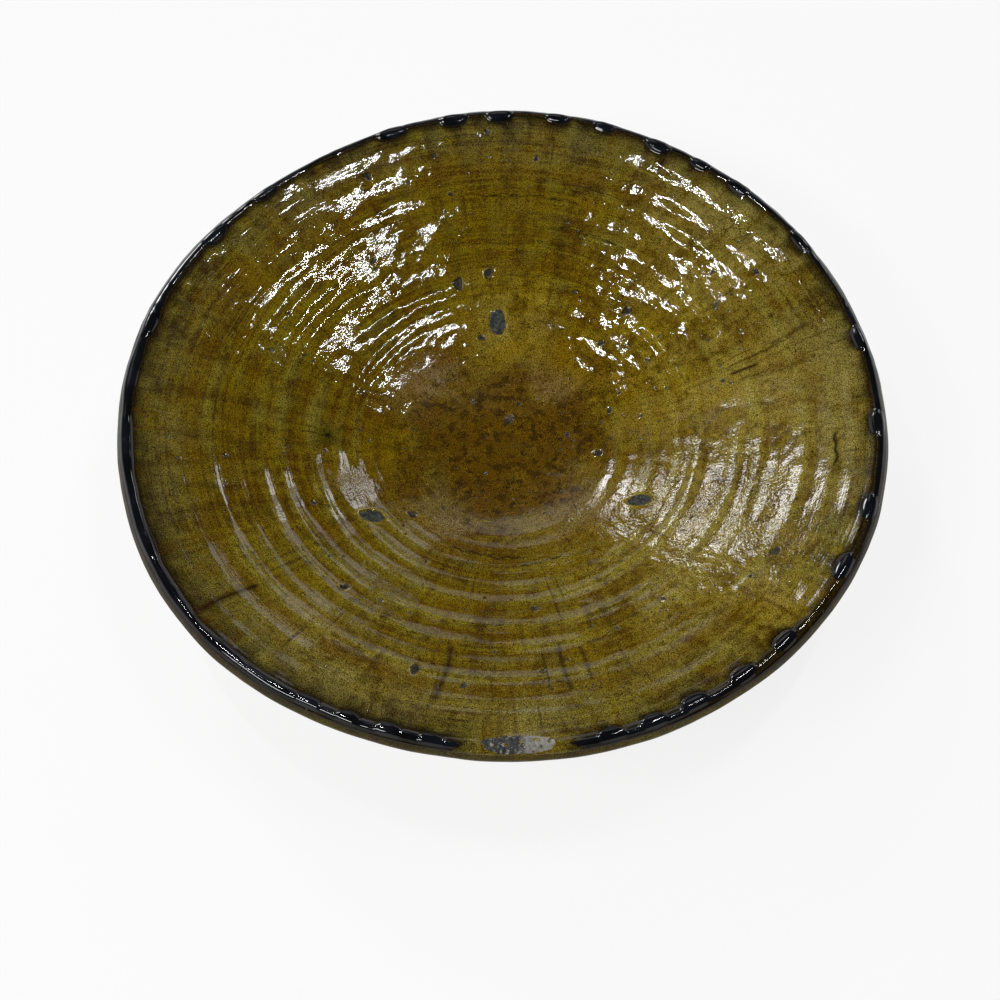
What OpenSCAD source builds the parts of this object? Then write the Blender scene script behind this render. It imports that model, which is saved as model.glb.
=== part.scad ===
// Wheel-thrown earthenware serving plate with a poured amber glaze and a dark, dabbed rim.
// Millimetres, +Z up. The origin is on the axis of the plate, on the table under the foot ring.

/* [Plate] */
// Diameter over the rim
plate_d = 350; // [300:1:400]
// Height from the table to the top of the rim
plate_h = 64; // [54:1:76]

/* [Well and wall] */
// Diameter of the flat middle of the well
well_d = 92; // [70:1:110]
// Thickness of the clay floor under the well
floor_t = 9; // [7:0.5:12]
// Distance over which the floor turns up into the wall
well_blend = 14; // [6:1:24]
// Slope of the inside wall where it meets the lip, in degrees
rim_slope = 23; // [20:1:28]
// Thickness of the wall just under the lip
wall_t = 6.5; // [5:0.5:8]
// Radius of the rolled lip
lip_r = 4.5; // [4.25:0.25:6]
// How full the underside of the wall is, where 1 is a straight cone
belly = 1.04; // [0.96:0.02:1.2]

/* [Throwing rings] */
// Distance between two rings left by the thrower's fingers
ring_pitch = 11; // [8:0.5:16]
// Height of a ring from groove to crest
ring_h = 0.8; // [0.2:0.1:1.4]

/* [Foot ring] */
// Outside diameter of the foot ring
foot_d = 116; // [100:1:130]
// Width of the foot ring at the base of the plate
foot_w = 11; // [8:0.5:14]
// Height of the foot ring
foot_h = 8; // [6:0.5:11]
// How much each side of the foot ring leans in towards the table
foot_taper = 1.2; // [0.4:0.2:2]
// Radius of the worn edges on the table
foot_edge = 1.4; // [0.6:0.2:2]
// Width of the base that stands out round the foot ring
base_step = 3; // [2:0.5:8]

/* [Glaze] */
// Thickness of the amber glaze
glaze_t = 0.6; // [0.4:0.1:0.8]
// Thickness of the dark glaze on the rim
rim_glaze_t = 1; // [0.8:0.1:1.4]
// Width of the dark band inside the crest of the lip
band_w = 1.5; // [1:0.5:4]
// Angle above the lip's widest point at which the dark band ends outside
band_end = 38; // [24:1:52]
// Width of bare clay between the base and the outside glaze
bare_w = 14; // [6:1:24]

/* [Dabs of dark glaze] */
// Length of a dab along the rim
dab_l = 14; // [10:1:18]
// Width of a dab across the rim
dab_w = 7; // [5:0.5:9]
// How far a dab runs down the wall past the band
dab_reach = 3; // [2:0.5:5]

/* [Scars] */
// Radius of the circle on which the kiln stilt stood
stilt_r = 72; // [60:1:84]
// Direction of the first stilt foot, in degrees from +X
stilt_turn = 92.5; // [60:0.5:120]
// Length of a stilt scar
scar_l = 12; // [9:0.5:14]
// Width of a stilt scar
scar_w = 7.5; // [5:0.5:8.5]
// Thickness of the clay that the stilt left behind
scar_t = 0.4; // [0.2:0.1:0.4]
// Length of the rim that the dark band leaves bare
gap_l = 42; // [34:1:50]
// Length of the kiln kiss in that gap
kiss_l = 30; // [20:1:32]
// Width of the kiln kiss
kiss_w = 7; // [5:0.5:8]
// Distance from the crest of the lip in to the middle of the kiln kiss
kiss_in = 1; // [0.5:0.5:3]

/* [Hidden] */
$fn = 96;

clay_colour = [0.72, 0.47, 0.32];
amber_colour = [0.40, 0.33, 0.07];
dark_colour = [0.06, 0.06, 0.07];
scar_colour = [0.24, 0.25, 0.23];
kiss_colour = [0.45, 0.45, 0.42];

// Directions of the dabs round the rim, in degrees from +X
dab_angles = [10, 31, 46, 54, 62, 72, 80, 90, 98, 109, 134, 146, 166, 205, 228, 242,
              248, 254, 285, 291, 297, 305, 313, 328, 339, 354];
// Direction of the bare gap and of the kiln kiss in it
gap_angle = 271.5;

// Directions in which the stilt scars lie, in degrees from +X
stilt_lie = [90, 0, 0];

steps_per_ring = 6;
lip_step = 12;
outside_steps = 12;
bare_steps = 3;
margin = 2;

// Places that follow from the sizes above
plate_r = plate_d / 2;
well_r = well_d / 2;
foot_r = foot_d / 2;
base_r = foot_r + base_step;
floor_z = foot_h + floor_t;
lip_reach = max(lip_r + glaze_t, (lip_r + rim_glaze_t) * cos(band_end));
lip_c = [plate_r - lip_reach, plate_h - rim_glaze_t - lip_r];
lip_start = 90 + rim_slope;
lip_neck = lip_start - 360 + acos(1 - wall_t / lip_r);
wall_end = lip_c + lip_r * [cos(lip_start), sin(lip_start)];
neck = lip_c + lip_r * [cos(lip_neck), sin(lip_neck)];
band_r = lip_c[0] - band_w;
dab_r = band_r - dab_reach + dab_w / 2;
dab_start_r = band_r - dab_reach - margin;

// A soft corner from the flat floor to the wall
function corner(r) = (sqrt(pow(r - well_r, 2) + pow(well_blend, 2)) + r - well_r) / 2;
function ramp(r) = corner(r) - corner(0);
function smooth_step(x) = let (s = max(0, min(1, x))) s * s * (3 - 2 * s);

// Rings fade out on the flat floor and again below the lip
ring_fade_in = [well_r / 2, well_r * 1.2];
ring_fade_out = [wall_end[0] - 4 * ring_pitch, wall_end[0] - ring_pitch];
function fade(r, span) = smooth_step((r - span[0]) / (span[1] - span[0]));
function ring(r) = ring_h / 2 * cos(360 * (r - well_r) / ring_pitch)
                   * fade(r, ring_fade_in) * (1 - fade(r, ring_fade_out));

// Height of the clay inside the plate at a distance r from the axis
wall_rise = wall_end[1] - floor_z;
wall_bow = tan(rim_slope) * ramp(wall_end[0]) / wall_rise - 1;
function wall_share(r) = ramp(r) / ramp(wall_end[0]);
function well_z(r) = floor_z + wall_rise * wall_share(r) * (1 + wall_bow * (wall_share(r) - 1)) + ring(r);

// Height of the clay under the plate, from the edge of the base to the neck below the lip
function under_share(r) = (r - base_r) / (neck[0] - base_r);
function under_z(r) = foot_h + (neck[1] - foot_h) * pow(under_share(r), belly);

// Points at even distances from r0 to r1, without the last one
function even(r0, r1, count) = [for (i = [0 : count - 1]) r0 + (r1 - r0) * i / count];
function ring_steps(length) = ceil(length * steps_per_ring / ring_pitch);
function arc(centre, radius, from, to) =
    let (count = ceil(abs(to - from) / lip_step))
    [for (a = even(from, to, count)) centre + radius * [cos(a), sin(a)]];

// The outline of the clay: up the inside, over the lip and back down the outside
well_points = [for (r = even(0, dab_start_r, ring_steps(dab_start_r))) [r, well_z(r)]];
rim_points = [for (r = even(dab_start_r, wall_end[0], ring_steps(wall_end[0] - dab_start_r))) [r, well_z(r)]];
lip_top = arc(lip_c, lip_r, lip_start, band_end);
lip_under = arc(lip_c, lip_r, band_end, lip_neck);
glaze_line_r = base_r + bare_w;
under_points = [for (r = even(neck[0], glaze_line_r, outside_steps)) [r, under_z(r)]];
bare_points = [for (r = even(glaze_line_r, base_r, bare_steps)) [r, under_z(r)]];
outline = concat(well_points, rim_points, lip_top, lip_under, under_points, bare_points, [[base_r, foot_h]]);

// Where each stretch of the outline begins
dab_start = len(well_points);
band_out = dab_start + len(rim_points) + len(lip_top);
glaze_line = band_out + len(lip_under) + len(under_points);

// The direction square to the outline, out of the clay
function square_to(i) =
    i == 0 ? [0, 1]
    : let (t = outline[i + 1] - outline[i - 1]) [-t[1], t[0]] / norm(t);

// A coat on the clay from one place on the outline to another
module coat(first, last, thickness) {
    inner = [for (i = [first : last]) outline[i]];
    outer = [for (i = [last : -1 : first]) outline[i] + thickness * square_to(i)];
    rotate_extrude() polygon(concat(inner, outer));
}

// An oval patch seen from above, lying along X
module oval(length, width) {
    for (side = [-1, 1]) translate([side * (length - width) / 2, 0]) circle(d = width);
    square([length - width, width], center = true);
}

// A patch that lies along the rim
module on_rim(angle, radius) {
    rotate(angle) translate([radius, 0]) rotate(90) children();
}

// Plan of the dark rim: a band with dabs that run down the wall, and one bare gap
module dark_plan() {
    difference() {
        union() {
            difference() {
                circle(r = plate_r + margin);
                circle(r = band_r);
            }
            for (a = dab_angles) on_rim(a, dab_r) oval(dab_l, dab_w);
        }
        on_rim(gap_angle, plate_r) square([gap_l, 2 * (plate_r - dab_start_r)], center = true);
    }
}

module kiss_plan() {
    on_rim(gap_angle, lip_c[0] - kiss_in) oval(kiss_l, kiss_w);
}

module stilt_plan() {
    feet = len(stilt_lie);
    for (k = [0 : feet - 1]) {
        foot_angle = stilt_turn + k * 360 / feet;
        translate(stilt_r * [cos(foot_angle), sin(foot_angle)]) rotate(stilt_lie[k]) oval(scar_l, scar_w);
    }
}

// A plan cut straight through the coats on the inside, from one distance from the axis to another
module through(from_r, to_r) {
    low = well_z(from_r) - margin;
    high = well_z(to_r) + glaze_t + margin;
    translate([0, 0, low]) linear_extrude(high - low) children();
}

module dark_cut() {
    through(dab_start_r, wall_end[0]) dark_plan();
}

module kiss_cut() {
    through(dab_start_r, wall_end[0]) kiss_plan();
}

module stilt_cut() {
    through(stilt_r - scar_l, stilt_r + scar_l) stilt_plan();
}

module clay_body() {
    color(clay_colour) rotate_extrude() polygon(concat(outline, [[0, foot_h]]));
}

module foot_ring() {
    lean = atan(foot_taper / foot_h);
    outer_edge = [foot_r - foot_taper - foot_edge, foot_edge];
    inner_edge = [foot_r - foot_w + foot_taper + foot_edge, foot_edge];
    outside = concat([[foot_r, foot_h]], arc(outer_edge, foot_edge, -lean, -90));
    sole = [[outer_edge[0], 0]];
    inside = concat(arc(inner_edge, foot_edge, -90, lean - 180), [[foot_r - foot_w, foot_h]]);
    color(clay_colour) rotate_extrude() polygon(concat(outside, sole, inside));
}

module inside_glaze() {
    color(amber_colour) difference() {
        coat(0, band_out, glaze_t);
        dark_cut();
        stilt_cut();
        kiss_cut();
    }
}

module outside_glaze() {
    color(amber_colour) coat(band_out, glaze_line, glaze_t);
}

module rim_glaze() {
    color(dark_colour) intersection() {
        coat(dab_start, band_out, rim_glaze_t);
        dark_cut();
    }
}

module stilt_scars() {
    color(scar_colour) intersection() {
        coat(0, dab_start, scar_t);
        stilt_cut();
    }
}

module rim_scar() {
    color(kiss_colour) intersection() {
        coat(dab_start, band_out, scar_t);
        kiss_cut();
    }
}

clay_body();
foot_ring();
inside_glaze();
outside_glaze();
rim_glaze();
stilt_scars();
rim_scar();
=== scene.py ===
"""Looks of a thrown earthenware plate with an amber glaze and a dark, dabbed rim.

Metres, +Z up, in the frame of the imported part. Angles are in degrees from +X towards +Y, and the
camera stands on the -Y side. A place on the plate is given by u, the distance along its section from
the middle of the well, over the lip and down the outside, and by theta, the angle round the axis.
"""
import math

import bmesh
import bpy
import numpy as np
from mathutils import Matrix, Vector


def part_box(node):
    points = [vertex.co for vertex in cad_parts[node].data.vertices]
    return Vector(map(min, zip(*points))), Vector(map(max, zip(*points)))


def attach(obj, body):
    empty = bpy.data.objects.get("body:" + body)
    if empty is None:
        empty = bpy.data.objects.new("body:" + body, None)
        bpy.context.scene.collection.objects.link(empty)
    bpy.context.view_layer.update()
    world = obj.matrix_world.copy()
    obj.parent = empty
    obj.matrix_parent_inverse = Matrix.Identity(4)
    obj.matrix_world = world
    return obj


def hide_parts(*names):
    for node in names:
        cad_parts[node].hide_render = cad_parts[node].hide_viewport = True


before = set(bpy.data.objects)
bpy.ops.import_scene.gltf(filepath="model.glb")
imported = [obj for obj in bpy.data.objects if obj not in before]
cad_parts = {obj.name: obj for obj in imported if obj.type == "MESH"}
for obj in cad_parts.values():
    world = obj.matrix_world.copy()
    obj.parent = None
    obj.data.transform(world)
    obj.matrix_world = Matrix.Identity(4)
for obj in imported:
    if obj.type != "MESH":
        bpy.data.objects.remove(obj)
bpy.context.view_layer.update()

MM = 0.001
TURN = 2 * math.pi

# Sizes that the frame knows, and below them the part's other sizes
PLATE_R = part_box("outside_glaze")[1].x
PLATE_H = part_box("rim_glaze")[1].z
FOOT_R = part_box("foot_ring")[1].x
FOOT_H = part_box("foot_ring")[1].z
WELL_R = 46 * MM
FLOOR_T = 9 * MM
WELL_BLEND = 14 * MM
RIM_SLOPE = math.radians(23)
WALL_T = 6.5 * MM
LIP_R = 4.5 * MM
BELLY = 1.04
BASE_STEP = 3 * MM
FOOT_W = 11 * MM
FOOT_TAPER = 1.2 * MM
FOOT_EDGE = 1.4 * MM
GLAZE_T = 0.6 * MM
RIM_GLAZE_T = 1.0 * MM
BAND_W = 1.5 * MM
BAND_END = math.radians(38)
BARE_W = 14 * MM
BASE_R = FOOT_R + BASE_STEP
BARE_R = BASE_R + BARE_W
# The coats' undersides lie this deep below the clay's own outline, and the clay a little deeper
COAT_SINK = 0.2 * MM
CLAY_SINK = 0.25 * MM

# In the lists below, angles are in degrees and the other sizes in mm

# The rim isn't quite round: (waves round the rim, height of the wave, angle of its crest)
WARP = [(2, 0.4, 80), (3, 1.5, -40), (4, 0.4, -14), (5, 0.5, 12), (6, 0.5, -22)]

# Throwing rings: (radius, height, half of the width)
RINGS = [
    (46, 0.1, 4), (55, 0.24, 4.5), (63, 0.12, 4), (71, 0.32, 4.5), (81, 0.32, 4.5), (91, 0.44, 5),
    (107, 0.46, 5.5), (117, 0.36, 6), (127, 0.18, 5), (137, 0.4, 5.5), (150, 0.34, 6.5), (161, 0.28, 6)]
# The near half of the wall is a little fuller below the rim
WALL_SWELL = 0.9 * MM
# Halfway up the wall the rings lie off-centre, this far towards this angle
RING_DRIFT = 2 * MM
RING_DRIFT_ANGLE = 345
# Places where the rings were smoothed over, or stand out more where the share is below 0:
# (angle, radius, size, share)
RING_FADES = [
    (54, 100, 24, 0.97), (52, 62, 13, 0.97), (36, 62, 13, 0.9), (90, 120, 30, 0.5),
    (112, 114, 24, 0.97), (105, 146, 16, 0.9), (134, 150, 27, 0.97), (151, 154, 27, 0.97),
    (122, 60, 13, 0.9), (142, 60, 12, 0.9), (330, 156, 24, 0.9), (314, 156, 22, 0.9),
    (316, 68, 14, 0.7), (203, 74, 14, 0.85), (196, 128, 28, 0.4), (193, 94, 14, 0.4),
    (204, 150, 18, 0.4), (236, 97, 11, 0.5), (143, 92, 11, 0.7), (127, 113, 11, 0.97),
    (340, 110, 26, -0.65)]
# Places where the wall is fuller: (angle, radius, size, height)
LUMPS = [(203, 84, 14, 1.4), (141, 134, 24, 0.8)]

# Dabs of dark glaze: (angle, length along the rim, reach down the wall, height)
DABS = [
    (10, 15, 2.2, 0.6), (31, 15, 2.4, 0.7), (46, 13, 2.2, 0.6), (54, 11, 2.4, 0.7), (62, 14, 3.6, 0.9),
    (72, 12, 2.2, 0.6), (80, 13, 3, 0.8), (90, 15, 3.6, 0.9), (98, 15, 3.4, 0.9), (109, 16, 3, 0.8),
    (134, 14, 1.8, 0.5), (146, 14, 2, 0.5), (166, 16, 1.4, 0.35), (207, 16, 0.8, 0.25),
    (228, 16, 0.8, 0.2), (242, 12, 1.4, 0.5), (248, 10, 1.6, 0.5), (254, 11, 1.8, 0.6),
    (260, 11, 1.6, 0.5), (284.5, 12, 2.2, 0.5), (290.5, 12, 3.2, 0.6), (297, 13, 3.8, 0.65),
    (305, 14, 3.8, 0.65), (313, 14, 3.8, 0.65), (328, 16, 4, 0.7), (339, 14, 3.6, 0.6),
    (354, 14, 3, 0.5)]
DAB_W = 8 * MM
# Thickness of the dark band, and where it is thicker: (angle, width of the stretch, extra)
BAND_THIN = 0.28 * MM
BAND_THICK = [
    (200, 44, 0.5), (238, 34, 0.5), (290, 10, 0.4), (322, 24, -0.16), (352, 16, 0.2), (40, 22, 0.3),
    (130, 26, 0.25)]
# Where the band reaches further down the wall: (angle, width of the stretch, reach)
BAND_REACH = [(174, 34, 1.7), (322, 22, -0.7)]
GAP_FROM = 264.5
GAP_TO = 278.5

# Scars of the kiln stilt: (angle, radius, length along X, length along Y)
STILTS = [(215.6, 74.4, 12, 7), (330.7, 72.7, 12, 6.4), (91.7, 68.8, 8.6, 14)]
# The kiln kiss on the near rim: angle, length, width, and how far in from the crest its middle lies
KISS_ANGLE = 271.8
KISS_L = 31 * MM
KISS_W = 8.5 * MM
KISS_IN = 0.4 * MM

# Pits and burst bubbles in the glaze: (angle, radius, size, depth)
PITS = [
    (104, 90, 2.8, 0.55), (94, 93, 2.4, 0.5), (48, 92.6, 2.3, 0.5), (353.5, 46, 1.9, 0.4),
    (223, 58, 2, 0.4), (31.7, 146, 1.7, 0.4), (31.4, 123, 1.5, 0.35), (254, 137, 2.6, 0.45),
    (263, 141, 1.6, 0.35), (277, 133, 1.5, 0.3), (278, 97, 1.5, 0.35), (80, 15, 1.6, 0.3),
    (118, 30, 1.3, 0.25), (19, 55, 1.4, 0.3), (38, 132, 1.2, 0.3), (160, 118, 1.3, 0.3),
    (190, 129, 1.1, 0.25), (306, 118, 1.2, 0.25), (240, 108, 1.2, 0.25), (12, 108, 1.1, 0.25),
    (83, 149, 1.5, 0.3), (327, 141, 2.2, 0.3), (231, 112, 1.8, 0.4), (205, 96, 1.3, 0.3),
    (75.6, 17.2, 1.4, 0.3), (11.6, 32, 1.3, 0.25), (71.4, 26, 1, 0.2), (241.8, 17, 1, 0.2),
    (47.9, 73, 1.6, 0.3), (99.4, 61.8, 1.6, 0.3), (30.1, 82.4, 1.3, 0.3), (231, 44.8, 1, 0.2),
    (123.8, 115.3, 1.5, 0.35), (109, 144, 1.1, 0.3), (102.6, 153.6, 1.2, 0.3), (100.9, 133.7, 1.1, 0.3),
    (116.1, 153.7, 2, 0.4), (92.4, 161.3, 1.5, 0.3)]
# Small pits all over the inside: how many, and the radius in mm that they reach
SMALL_PITS = 120
SMALL_PITS_R = 160
# Brown streaks down the wall: (angle, inner radius, outer radius, width, strength)
STREAKS = [
    (220.2, 141, 167, 3, 1), (259.2, 122, 150, 3, 0.9), (16.3, 134, 152, 1.4, 0.7),
    (13, 113, 124, 1.6, 1), (59.8, 160, 164, 2.4, 1), (277.5, 124, 142, 1.6, 0.8),
    (281, 120, 144, 2.2, 0.85), (285, 124, 141, 1.6, 0.75), (247, 132, 150, 2.4, 0.5),
    (292, 128, 146, 2, 0.6), (268, 130, 148, 2, 0.4), (210, 146, 166, 2.4, 0.5),
    (202, 140, 162, 2, 0.45), (192, 138, 164, 2.6, 0.45), (178, 146, 166, 2, 0.5),
    (168, 140, 164, 2.4, 0.45), (160, 132, 150, 2, 0.4), (176, 118, 142, 5, 0.35),
    (186, 116, 150, 6, 0.35), (183.7, 74, 90, 5, 0.4), (73.8, 96, 118, 5, 0.35),
    (84.6, 98, 120, 4, 0.4), (103, 98, 116, 5, 0.3), (197, 128, 150, 5, 0.35),
    (110.4, 29, 34, 3.2, 0.5), (227.5, 27, 33, 3.5, 0.4), (52, 96, 112, 3, 0.4), (62, 104, 128, 4, 0.3),
    (204, 100, 132, 4, 0.3), (170, 84, 112, 4, 0.3), (20, 104, 122, 3, 0.4), (10, 118, 140, 4, 0.3)]
# Dark cracks along the rings: (radius, first angle, last angle, width)
CRACKS = [
    (152.5, 346, 353.5, 1.6), (62.5, 247, 263, 0.8), (64, 262, 277, 0.9), (69, 276, 294, 0.8),
    (118, 60, 76, 0.5), (131, 72, 96, 0.5)]
# A copper-green spot: angle, radius
GREEN_SPOT = (180.4, 83)
# Runs of glaze on the outside: (angle, length), and half their width in degrees
RUNS = [(24, 7), (101, 9), (163, 6), (214, 8), (297, 7), (342, 5)]
RUN_HALF = 4.5
# Chips in the foot ring: (angle, outer 1 or inner -1 edge, size, depth)
CHIPS = [(35, 1, 3.5, 0.9), (148, 1, 2.6, 0.7), (233, -1, 3, 0.8), (310, 1, 4.2, 1)]
# Distance of the chips from the middle of the foot ring
CHIP_OUT = 4.3 * MM
# Patches of each tone or finish: (angle, radius, size, strength)
PATCHES = {
    "light": [(40, 80, 40, 0.75), (85, 72, 24, 0.8), (10, 94, 26, 0.9), (180, 54, 18, 0.4),
              (330, 95, 45, 0.4), (316, 158, 18, 0.8)],
    # pale_olive: paler, greyer olive patches, most of them on the right wall
    "pale_olive": [(0, 128, 58, 1), (42, 145, 45, 0.9), (320, 118, 52, 0.9), (275, 152, 30, 0.3),
             (85, 68, 20, 0.6), (242, 152, 32, 0.65)],
    # haze_and_sheen: rougher glaze round the well's edge, whose pale grey tone is a painted reflection
    "haze_and_sheen": [(138, 50, 16, 1), (315, 46, 16, 0.8), (225, 47, 12, 0.6), (52, 42, 12, 0.6),
             (100, 32, 12, 0.4), (275, 51, 9, 0.5), (242, 52, 16, 1)],
    "grit": [(335, 105, 42, 1), (315, 55, 20, 0.7), (203, 76, 12, 0.4)],
    "craze": [(41.6, 156, 9, 1), (335, 132, 14, 0.8), (300, 150, 12, 0.5)],
    "worn": [(330, 156, 26, 0.95), (312, 152, 24, 0.95), (348, 152, 18, 0.6), (346, 71, 16, 0.95),
             (314, 65, 15, 0.9), (330, 73, 12, 0.7), (139, 60, 10, 0.9)],
}


def smooth(x, low, high):
    """0 below low, 1 above high and an even step between them."""
    s = np.clip((x - low) / (high - low), 0, 1)
    return s * s * (3 - 2 * s)


def bell(x, middle, width):
    """1 at the middle, falling off on both sides."""
    return np.exp(-((x - middle) / width) ** 2)


def degrees_from(theta, angle):
    """Degrees from an angle, between -180 and 180."""
    return (np.degrees(theta) - angle + 180) % 360 - 180


def facing(theta, angle, width):
    """1 at an angle round the axis, falling off on both sides, with angle and width in degrees."""
    return bell(degrees_from(theta, angle), 0, width)


def waves(x, y, length, seed, count=24):
    """A smooth random swell of about unit height, whose waves are about this long."""
    rng = np.random.default_rng(seed)
    total = np.zeros_like(x)
    for _ in range(count):
        heading, phase = rng.uniform(0, TURN, 2)
        turn = TURN / (length * rng.uniform(0.7, 1.4))
        total += np.cos(turn * (x * math.cos(heading) + y * math.sin(heading)) + phase)
    return total * math.sqrt(2 / count)


def relief(x, y, *layers):
    """The sum of random swells, from (height, length of the waves, seed) layers, in mm."""
    return sum(height * MM * waves(x, y, length * MM, seed) for height, length, seed in layers)


def plan(u, theta):
    """The flat plan on which u is the distance from the middle."""
    return u * np.cos(theta), u * np.sin(theta)


def clay_section():
    """Points of the clay's section, and which of them are the end of the dark band and the lip's crest."""
    lip_reach = max(LIP_R + GLAZE_T, (LIP_R + RIM_GLAZE_T) * math.cos(BAND_END))
    lip_r, lip_z = PLATE_R - lip_reach, PLATE_H - RIM_GLAZE_T - LIP_R
    lip_start = math.pi / 2 + RIM_SLOPE
    lip_neck = lip_start - TURN + math.acos(1 - WALL_T / LIP_R)
    turn = np.linspace(lip_start, lip_neck, 160)
    lip = np.stack([lip_r + LIP_R * np.cos(turn), lip_z + LIP_R * np.sin(turn)], -1)
    (wall_r, wall_z), (neck_r, neck_z) = lip[0], lip[-1]

    def corner(r):
        return (np.hypot(r - WELL_R, WELL_BLEND) + r - WELL_R) / 2

    r = np.linspace(0, wall_r, 600)
    ramp_end = corner(wall_r) - corner(0)
    share = (corner(r) - corner(0)) / ramp_end
    rise = wall_z - FOOT_H - FLOOR_T
    bow = math.tan(RIM_SLOPE) * ramp_end / rise - 1
    inside = np.stack([r, FOOT_H + FLOOR_T + rise * share * (1 + bow * (share - 1))], -1)
    r = np.linspace(neck_r, BASE_R, 300)[1:]
    fullness = np.clip((r - BASE_R) / (neck_r - BASE_R), 0, 1) ** BELLY
    outside = np.stack([r, FOOT_H + (neck_z - FOOT_H) * fullness], -1)
    points = np.concatenate([inside[:-1], lip, outside])
    band_end, crest = (len(inside) - 1 + int(np.argmin(np.abs(turn - a))) for a in (BAND_END, math.pi / 2))
    return points, band_end, crest


SECTION, band_end_at, crest_at = clay_section()
widest_at = int(np.argmax(SECTION[:, 0]))
steps = np.hypot(*np.diff(SECTION, axis=0).T)
SECTION_U = np.concatenate([[0], np.cumsum(steps)])
tangent = np.gradient(SECTION, SECTION_U, axis=0)
tangent /= np.linalg.norm(tangent, axis=1)[:, None]
SECTION_OUT = np.stack([-tangent[:, 1], tangent[:, 0]], -1)
U_SEAM = SECTION_U[band_end_at]
U_CREST = SECTION_U[crest_at]
U_BASE = SECTION_U[-1]
U_BAND = U_CREST - BAND_W


def u_inside(r):
    """The length along the section at a radius on the inside."""
    return np.interp(r, SECTION[:crest_at, 0], SECTION_U[:crest_at])


def u_outside(r):
    """The length along the section at a radius on the outside."""
    return np.interp(-r, -SECTION[widest_at:, 0], SECTION_U[widest_at:])


def radius_at(u):
    """The radius at a length along the section."""
    return np.interp(u, SECTION_U, SECTION[:, 0])


def polar(angle, radius):
    """The plan place of an angle in degrees and a radius in mm on the inside."""
    return plan(u_inside(radius * MM), math.radians(angle))


def away_from(x, y, angle, radius):
    """Distance in the plan from an angle in degrees and a radius in mm on the inside."""
    cx, cy = polar(angle, radius)
    return np.hypot(x - cx, y - cy)


def place(u, theta, lift):
    """Points at a height lift above the clay, with the rim's own warp."""
    r, z = (np.interp(u, SECTION_U, at) + lift * np.interp(u, SECTION_U, out)
            for at, out in zip(SECTION.T, SECTION_OUT.T))
    out_of_round = sum(height * MM * np.cos(count * (theta - math.radians(angle)))
                       for count, height, angle in WARP)
    r = r + out_of_round * (r / PLATE_R) ** 3
    return np.stack([r * np.cos(theta), r * np.sin(theta), z], -1)


def rings(u, theta):
    """Height of the throwing rings on the inside."""
    r = radius_at(u)
    drift = RING_DRIFT * bell(r, 0.6 * PLATE_R, 0.22 * PLATE_R)
    r = r - drift * np.cos(theta - math.radians(RING_DRIFT_ANGLE))
    x, y = plan(u, theta)
    change = 0.24 + 0.2 * smooth(np.sin(theta), -0.3, 0.4)
    total = np.zeros_like(u)
    for index, (radius, height, half) in enumerate(RINGS):
        wander = 0.9 * MM * np.cos(theta + 2.4 * index) + 0.6 * MM * np.cos(2 * theta + 1.7 * index)
        across = np.clip((r + wander - radius * MM) / (half * MM), -1, 1)
        uneven = np.clip(1 + change * waves(x, y, 56 * MM, 100 + index), 0.15, 1.8)
        total += height * MM * uneven * (0.5 + 0.5 * np.cos(math.pi * across))
    for angle, radius, size, share in RING_FADES:
        beyond = smooth(away_from(x, y, angle, radius), 0.6 * size * MM, 1.2 * size * MM)
        total = total * (1 - share * (1 - beyond))
    return np.where(u < U_CREST, total, 0)


def lumps(u, theta):
    """Height of the places where the wall is fuller, which all end below the dark band."""
    x, y = plan(u, theta)
    total = sum(height * MM * bell(away_from(x, y, angle, radius), 0, size * MM)
                for angle, radius, size, height in LUMPS)
    return total * (1 - smooth(u, U_BAND - 12 * MM, U_BAND))


def all_pits():
    """Plan place, size and depth of every pit, the listed ones first."""
    pits = [(*polar(angle, radius), size * MM, depth * MM) for angle, radius, size, depth in PITS]
    rng = np.random.default_rng(11)
    for _ in range(SMALL_PITS):
        angle, radius = rng.uniform(0, 360), SMALL_PITS_R * math.sqrt(rng.uniform(0.03, 1))
        size = rng.uniform(0.5, 1.0) * MM
        pits.append((*polar(angle, radius), size, size * 0.25))
    return pits


PIT_PLACES = all_pits()
STILT_PLACES = [(*polar(angle, radius), length / 2 * MM, width / 2 * MM)
                for angle, radius, length, width in STILTS]


def pit_distance(x, y, size, index):
    """Distance from the middle of a pit, where 1 is its uneven edge."""
    turn = np.arctan2(y, x)
    uneven = 1 + 0.16 * np.cos(2 * turn + index) + 0.1 * np.cos(3 * turn + 2.1 * index)
    return np.hypot(x, y) / size * uneven


def stilt_distance(x, y):
    """Distance from the middle of the nearest stilt scar, where 1 is its edge."""
    return np.min([np.hypot((x - cx) / a, (y - cy) / b) for cx, cy, a, b in STILT_PLACES], axis=0)


def along_rim(theta, angle):
    """Distance along the rim from an angle in degrees."""
    return np.radians(degrees_from(theta, angle)) * PLATE_R


def kiss_distance(u, theta):
    """Distance from the middle of the kiln kiss, where 1 is its edge."""
    along = along_rim(theta, KISS_ANGLE) / (KISS_L / 2)
    return np.hypot(along, (u - U_CREST + KISS_IN) / (KISS_W / 2))


def calm(x, y):
    """How smooth the glaze lies below the far-left rim."""
    below_rim = smooth(np.hypot(x, y), 120 * MM, 148 * MM)
    return facing(np.arctan2(y, x), 141, 25) * below_rim


def unrest(x, y):
    """How uneven the glaze is: it lies calm on the near side and the left, and ripples elsewhere."""
    radius = np.hypot(x, y) + 0.1 * MM
    far = smooth(y / radius, -0.15, 0.3) * (1 - 0.8 * calm(x, y))
    right = smooth((x - 0.6 * y) / radius, 0.7, 1.0) * (1 - smooth(radius, 135 * MM, 160 * MM))
    return 0.35 + 0.65 * np.maximum(far, right)


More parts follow.
